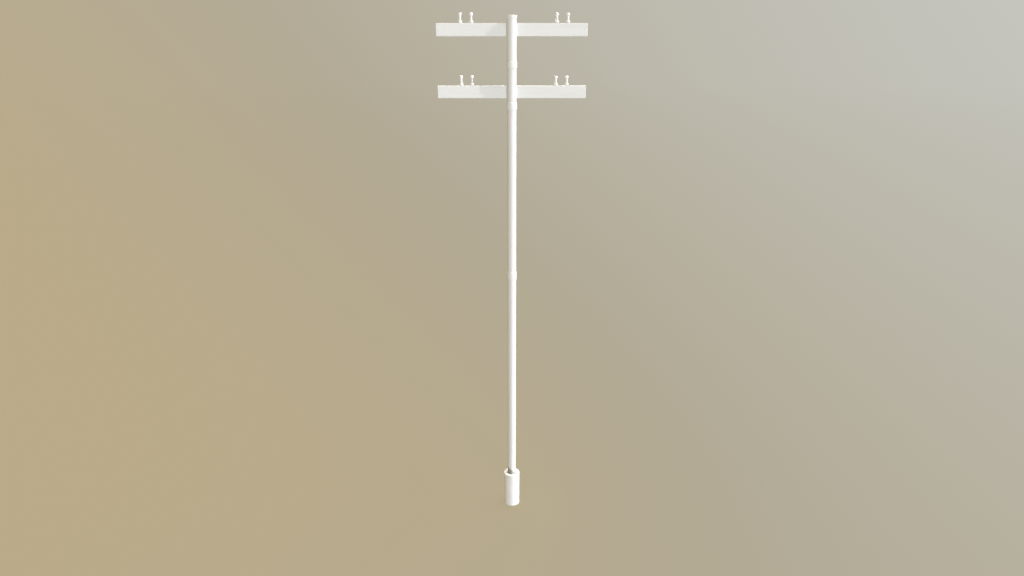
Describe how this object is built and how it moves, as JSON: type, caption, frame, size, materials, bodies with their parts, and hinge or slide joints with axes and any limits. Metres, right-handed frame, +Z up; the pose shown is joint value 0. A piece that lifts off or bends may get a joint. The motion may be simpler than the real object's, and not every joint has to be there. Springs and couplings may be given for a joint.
{
  "type": "wooden utility pole",
  "caption": "Tall round white-painted timber pole set in a short thick ground sleeve, with wide plain crossarms near its top that carry knob insulators, and clamp bands round the shaft.",
  "frame": {"origin": "on the axis of the shaft at ground level, at the centre of the shaft's flat foot", "axes": "+Z up along the shaft; +X along the crossarms; +Y towards the side that the crossarms are bolted to"},
  "size_m": [2.387, 0.292, 8.915],
  "materials": {
    "painted_pole_timber": "white paint over dressed timber",
    "painted_arm_timber": "white paint over sawn timber",
    "painted_steel": "white paint",
    "pin_steel": "white paint",
    "porcelain": "white glaze",
    "painted_concrete": "white masonry paint over cast concrete",
    "grout": "rough weathered mortar"
  },
  "bodies": {
    "root": {"base_sleeve": "painted_concrete", "lower_band": "painted_steel", "lower_crossarm": "painted_arm_timber", "lower_insulator_left_inner": "porcelain", "lower_insulator_left_outer": "porcelain", "lower_insulator_right_inner": "porcelain", "lower_insulator_right_outer": "porcelain", "lower_pin_left_inner": "pin_steel", "lower_pin_left_outer": "pin_steel", "lower_pin_right_inner": "pin_steel", "lower_pin_right_outer": "pin_steel", "middle_band": "painted_steel", "pole_cap": "painted_steel", "pole_shaft": "painted_pole_timber", "sleeve_grout": "grout", "upper_band": "painted_steel", "upper_crossarm": "painted_arm_timber", "upper_insulator_left_inner": "porcelain", "upper_insulator_left_outer": "porcelain", "upper_insulator_right_inner": "porcelain", "upper_insulator_right_outer": "porcelain", "upper_pin_left_inner": "pin_steel", "upper_pin_left_outer": "pin_steel", "upper_pin_right_inner": "pin_steel", "upper_pin_right_outer": "pin_steel"}
  },
  "joints": []
}
